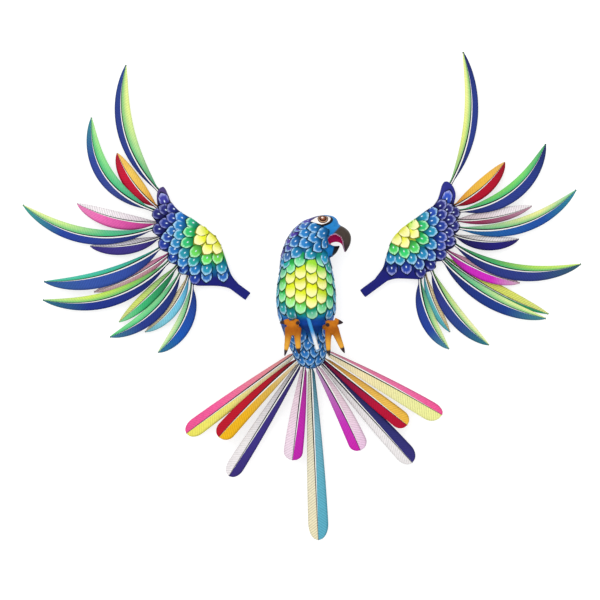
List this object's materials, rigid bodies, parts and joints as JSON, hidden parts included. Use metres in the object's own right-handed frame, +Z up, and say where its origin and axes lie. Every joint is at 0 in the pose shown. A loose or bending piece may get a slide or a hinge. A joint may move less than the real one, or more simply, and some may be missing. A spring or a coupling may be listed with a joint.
{
  "type": "carved wooden parrot with pull-off wings",
  "caption": "Carved and painted wooden parrot laid on its back, with an open hooked bill, clawed feet, wings that plug into its flanks, and thin wooden slips as wing and tail feathers.",
  "frame": {"origin": "on the flat of the bird's back, under the middle of its torso", "axes": "+Z up out of the belly, +Y towards the head, +X towards the bird's turned bill, across the wings"},
  "size_m": [0.5583, 0.4881, 0.0531],
  "materials": {
    "beige_sky": "acrylic paint with a satin varnish",
    "blue_green": "acrylic paint with a satin varnish",
    "cream_teal": "acrylic paint with a satin varnish",
    "foot_orange": "acrylic paint with a satin varnish",
    "green_yellow": "acrylic paint with a satin varnish",
    "mauve_grey": "acrylic paint with a satin varnish",
    "peg_blue": "acrylic paint with a satin varnish",
    "pink_white": "acrylic paint with a satin varnish",
    "pink_yellow": "acrylic paint with a satin varnish",
    "plumage_blue": "acrylic paint with a satin varnish",
    "purple_grey": "acrylic paint with a satin varnish",
    "red_amber": "acrylic paint with a satin varnish",
    "white_magenta": "acrylic paint with a satin varnish",
    "white_purple": "acrylic paint with a satin varnish",
    "wing_navy": "acrylic paint with a satin varnish"
  },
  "bodies": {
    "parrot_body": {"body": "plumage_blue", "belly_peg": "peg_blue", "left_leg": "foot_orange", "right_leg": "foot_orange", "left_foot": "foot_orange", "right_foot": "foot_orange", "tail_feather_1": "pink_yellow", "tail_feather_2": "red_amber", "tail_feather_3": "white_purple", "tail_feather_4": "white_magenta", "tail_feather_5": "cream_teal", "tail_feather_6": "white_magenta", "tail_feather_7": "white_purple", "tail_feather_8": "red_amber", "tail_feather_9": "pink_yellow"},
    "left_wing_group": {"left_wing": "wing_navy", "left_feather_1": "blue_green", "left_feather_2": "blue_green", "left_feather_3": "red_amber", "left_feather_4": "pink_white", "left_feather_5": "blue_green", "left_feather_6": "purple_grey", "left_feather_7": "blue_green", "left_feather_8": "mauve_grey", "left_feather_9": "blue_green", "left_feather_10": "green_yellow", "left_feather_11": "blue_green", "left_feather_12": "beige_sky", "left_feather_13": "blue_green"},
    "right_wing_group": {"right_wing": "wing_navy", "right_feather_1": "blue_green", "right_feather_2": "red_amber", "right_feather_3": "blue_green", "right_feather_4": "pink_white", "right_feather_5": "blue_green", "right_feather_6": "purple_grey", "right_feather_7": "blue_green", "right_feather_8": "white_magenta", "right_feather_9": "green_yellow", "right_feather_10": "blue_green", "right_feather_11": "blue_green", "right_feather_12": "beige_sky", "right_feather_13": "blue_green"}
  },
  "joints": [
    {"name": "left_wing_slide", "type": "slide", "parent": "parrot_body", "child": "left_wing_group", "axis": [0.8039, -0.5948, 0], "range_m": [0, 0.055]},
    {"name": "right_wing_slide", "type": "slide", "parent": "parrot_body", "child": "right_wing_group", "axis": [-0.8039, -0.5948, 0], "range_m": [0, 0.054]}
  ]
}
